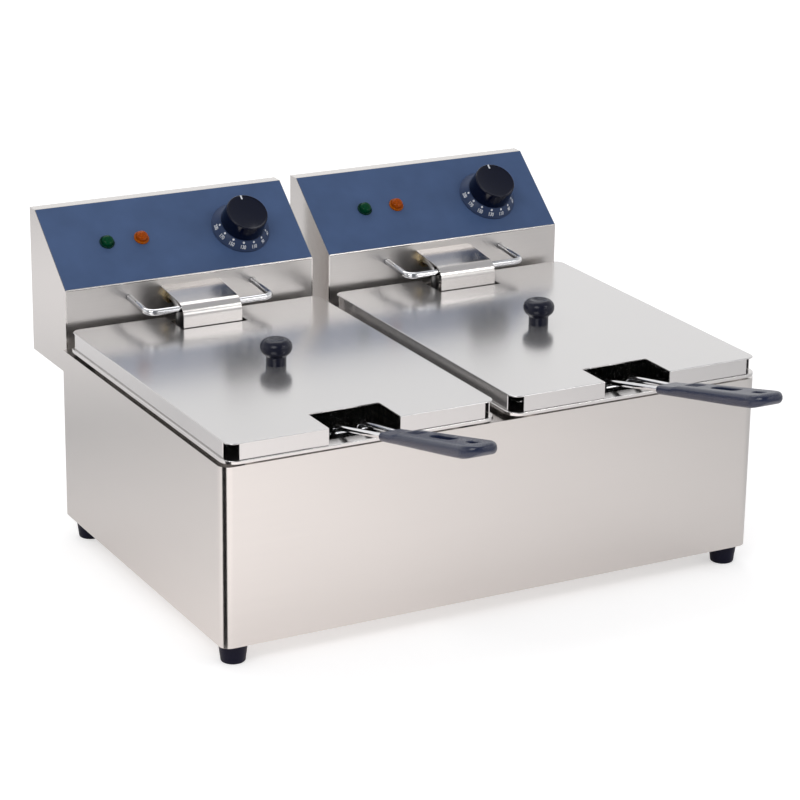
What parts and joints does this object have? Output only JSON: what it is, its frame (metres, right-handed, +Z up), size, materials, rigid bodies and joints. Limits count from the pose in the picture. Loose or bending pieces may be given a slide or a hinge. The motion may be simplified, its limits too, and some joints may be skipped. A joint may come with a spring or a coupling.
{
  "type": "deep fryer",
  "caption": "Countertop twin electric deep fryer: steel case, lift-out oil tanks with notched pan lids, wire baskets with long grips, and lift-off control heads with dial and lamps.",
  "frame": {"origin": "on the floor under the middle of the whole part, grips and cable glands included", "axes": "+Z up, +Y from the front to the control heads, +X to the right as seen from the front"},
  "size_m": [0.55, 0.6738, 0.3074],
  "materials": {
    "case_steel": "brushed",
    "lid_steel": "fine brushed, near mirror",
    "tank_steel": "drawn, bright",
    "wire_chrome": "polished",
    "element_steel": "satin",
    "probe_steel": "satin",
    "nut_brass": "turned",
    "screw_steel": "plated",
    "black_plastic": "gloss",
    "grip_plastic": "satin",
    "dial_plastic": "satin",
    "knob_plastic": "satin",
    "overlay_film": "satin",
    "green_lens": "gloss",
    "amber_lens": "gloss",
    "switch_plastic": "moulded",
    "cutout_metal": "drawn",
    "foot_rubber": "smooth"
  },
  "bodies": {
    "case": {"case_shell": "case_steel", "base_plate": "case_steel", "top_deck": "case_steel", "rear_panel": "case_steel", "feet": "foot_rubber", "foot_screws": "screw_steel"},
    "left_oil_tank": {"left_tank": "tank_steel"},
    "left_lid_set": {"left_lid": "lid_steel", "left_lid_knob": "black_plastic", "left_lid_knob_screw": "screw_steel"},
    "left_basket_set": {"left_basket_mesh": "wire_chrome", "left_basket_frame": "wire_chrome", "left_handle_wires": "wire_chrome", "left_handle_grip": "grip_plastic"},
    "left_dial": {"left_thermostat_knob": "knob_plastic", "left_thermostat_shaft": "screw_steel"},
    "left_control_head": {"left_heating_element": "element_steel", "left_element_nuts": "nut_brass", "left_temperature_probe": "probe_steel", "left_element_cover": "case_steel", "left_basket_hanger": "wire_chrome", "left_head_housing": "case_steel", "left_head_base": "case_steel", "left_front_panel": "case_steel", "left_mounting_tongue": "case_steel", "left_control_overlay": "overlay_film", "left_dial_ring": "dial_plastic", "left_thermostat": "switch_plastic", "left_power_lamp": "green_lens", "left_heating_lamp": "amber_lens", "left_terminal_block": "switch_plastic", "left_limit_thermostat": "cutout_metal", "left_cable_gland": "black_plastic"},
    "right_oil_tank": {"right_tank": "tank_steel"},
    "right_lid_set": {"right_lid": "lid_steel", "right_lid_knob": "black_plastic", "right_lid_knob_screw": "screw_steel"},
    "right_basket_set": {"right_basket_mesh": "wire_chrome", "right_basket_frame": "wire_chrome", "right_handle_wires": "wire_chrome", "right_handle_grip": "grip_plastic"},
    "right_dial": {"right_thermostat_knob": "knob_plastic", "right_thermostat_shaft": "screw_steel"},
    "right_control_head": {"right_heating_element": "element_steel", "right_element_nuts": "nut_brass", "right_temperature_probe": "probe_steel", "right_element_cover": "case_steel", "right_basket_hanger": "wire_chrome", "right_head_housing": "case_steel", "right_head_base": "case_steel", "right_front_panel": "case_steel", "right_mounting_tongue": "case_steel", "right_control_overlay": "overlay_film", "right_dial_ring": "dial_plastic", "right_thermostat": "switch_plastic", "right_power_lamp": "green_lens", "right_heating_lamp": "amber_lens", "right_terminal_block": "switch_plastic", "right_limit_thermostat": "cutout_metal", "right_cable_gland": "black_plastic"}
  },
  "joints": [
    {"name": "left_tank_lift", "type": "slide", "parent": "case", "child": "left_oil_tank", "axis": [0, 0, 1], "range_m": [0, 0.17]},
    {"name": "left_head_lift", "type": "slide", "parent": "left_oil_tank", "child": "left_control_head", "axis": [0, 0, 1], "range_m": [0, 0.15]},
    {"name": "left_lid_slide", "type": "slide", "parent": "left_control_head", "child": "left_lid_set", "axis": [0, -0.9613, 0.2756], "range_m": [0, 0.38]},
    {"name": "left_basket_lift", "type": "slide", "parent": "left_control_head", "child": "left_basket_set", "axis": [0, 0, 1], "range_m": [0, 0.012]},
    {"name": "left_dial_turn", "type": "hinge", "parent": "left_control_head", "child": "left_dial", "pos_m": [-0.0715, 0.26996, 0.27347], "axis": [0, 0.6366, -0.7712], "range_deg": [0, 270]},
    {"name": "right_tank_lift", "type": "slide", "parent": "case", "child": "right_oil_tank", "axis": [0, 0, 1], "range_m": [0, 0.17]},
    {"name": "right_head_lift", "type": "slide", "parent": "right_oil_tank", "child": "right_control_head", "axis": [0, 0, 1], "range_m": [0, 0.15]},
    {"name": "right_lid_slide", "type": "slide", "parent": "right_control_head", "child": "right_lid_set", "axis": [0, -0.9613, 0.2756], "range_m": [0, 0.38]},
    {"name": "right_basket_lift", "type": "slide", "parent": "right_control_head", "child": "right_basket_set", "axis": [0, 0, 1], "range_m": [0, 0.012]},
    {"name": "right_dial_turn", "type": "hinge", "parent": "right_control_head", "child": "right_dial", "pos_m": [0.2085, 0.26996, 0.27347], "axis": [0, 0.6366, -0.7712], "range_deg": [0, 270]}
  ]
}
